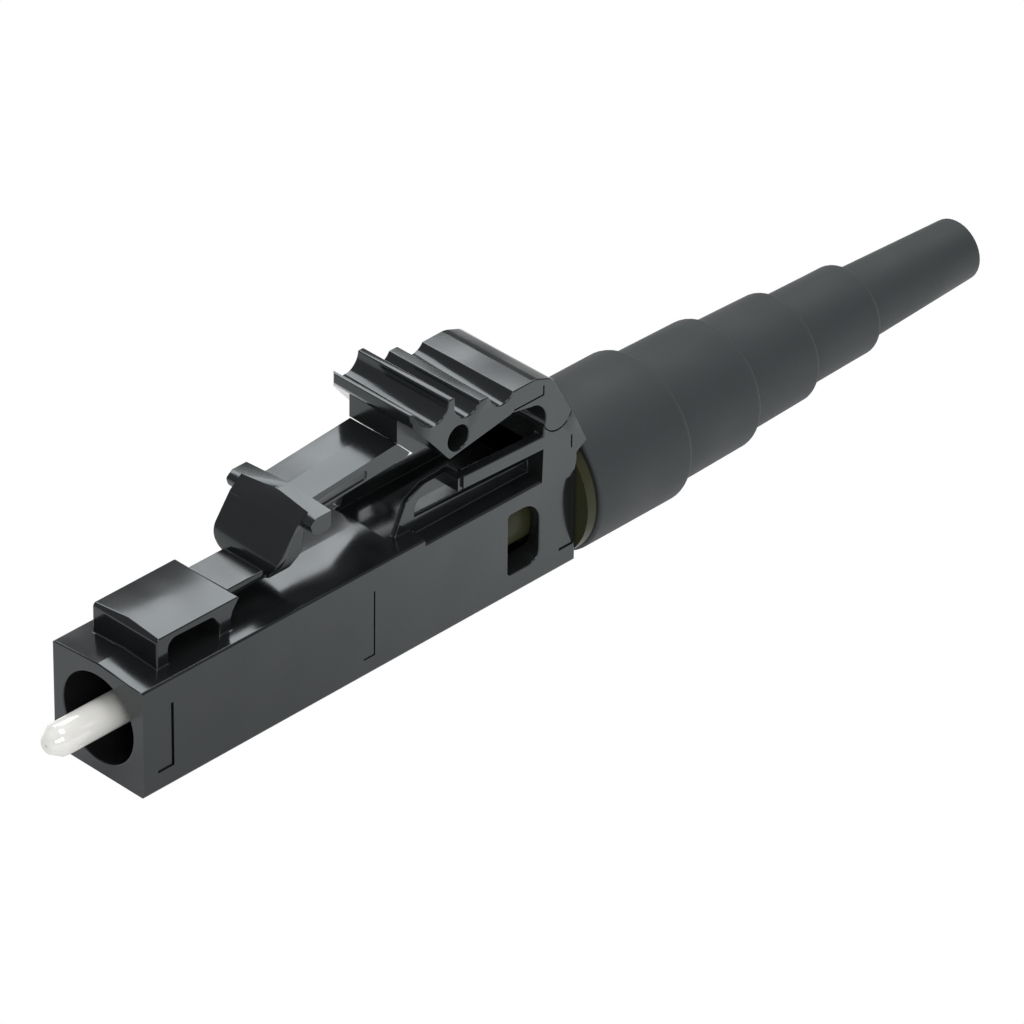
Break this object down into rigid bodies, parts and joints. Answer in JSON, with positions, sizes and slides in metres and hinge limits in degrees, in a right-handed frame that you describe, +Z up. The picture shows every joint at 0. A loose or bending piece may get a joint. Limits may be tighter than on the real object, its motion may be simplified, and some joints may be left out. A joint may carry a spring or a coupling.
{
  "type": "fibre optic connector",
  "caption": "Small square plug for optical fibre with a latch arm, a ribbed release trigger, a sprung ceramic ferrule, a splice with a cam sleeve and a stepped rubber boot.",
  "frame": {"origin": "on the ferrule's axis, level with the front face of the housing", "axes": "+X from the ferrule to the boot, +Z up to the latch, +Y across"},
  "size_m": [0.0458, 0.006, 0.0104],
  "materials": {
    "housing_plastic": "satin black",
    "ceramic": "polished off-white ceramic",
    "fibre_glass": "clear",
    "holder_plastic": "plain",
    "splice_plastic": "plain",
    "spring_steel": "drawn wire",
    "backbone_plastic": "plain",
    "cam_plastic": "smoky olive, lets some light through",
    "clamp_metal": "plain",
    "boot_rubber": "matte slate"
  },
  "bodies": {
    "shell": {"housing": "housing_plastic", "backbone": "backbone_plastic", "spring": "spring_steel", "lead_in_tube": "splice_plastic", "buffer_clamp": "clamp_metal", "clamp_ring": "clamp_metal", "boot": "boot_rubber"},
    "latch": {"latch_arm": "housing_plastic"},
    "release": {"trigger": "housing_plastic"},
    "ferrule_carrier": {"ferrule": "ceramic", "fibre_stub": "fibre_glass", "ferrule_holder": "holder_plastic", "splice_lower": "splice_plastic", "splice_upper": "splice_plastic"},
    "cam": {"cam_sleeve": "cam_plastic"}
  },
  "joints": [
    {"name": "trigger_flex", "type": "hinge", "parent": "shell", "child": "release", "pos_m": [0.0199, 0, 0.00445], "axis": [0, -1, 0], "range_deg": [0, 9], "stiffness_Nm_per_rad": 0.05},
    {"name": "latch_flex", "type": "hinge", "parent": "shell", "child": "latch", "pos_m": [0.0052, 0, 0.00313], "axis": [0, 1, 0], "range_deg": [0, 12.2]},
    {"name": "ferrule_float", "type": "slide", "parent": "shell", "child": "ferrule_carrier", "axis": [1, 0, 0], "range_m": [0, 0.0008], "stiffness_N_per_m": 600, "springref_m": -0.001, "deforming": ["spring"]},
    {"name": "cam_turn", "type": "hinge", "parent": "shell", "child": "cam", "pos_m": [0.018, 0, 0], "axis": [1, 0, 0], "range_deg": [0, 90]}
  ],
  "couplings": [
    {"joint": "latch_flex", "follows": "trigger_flex", "ratio": 1.35}
  ]
}
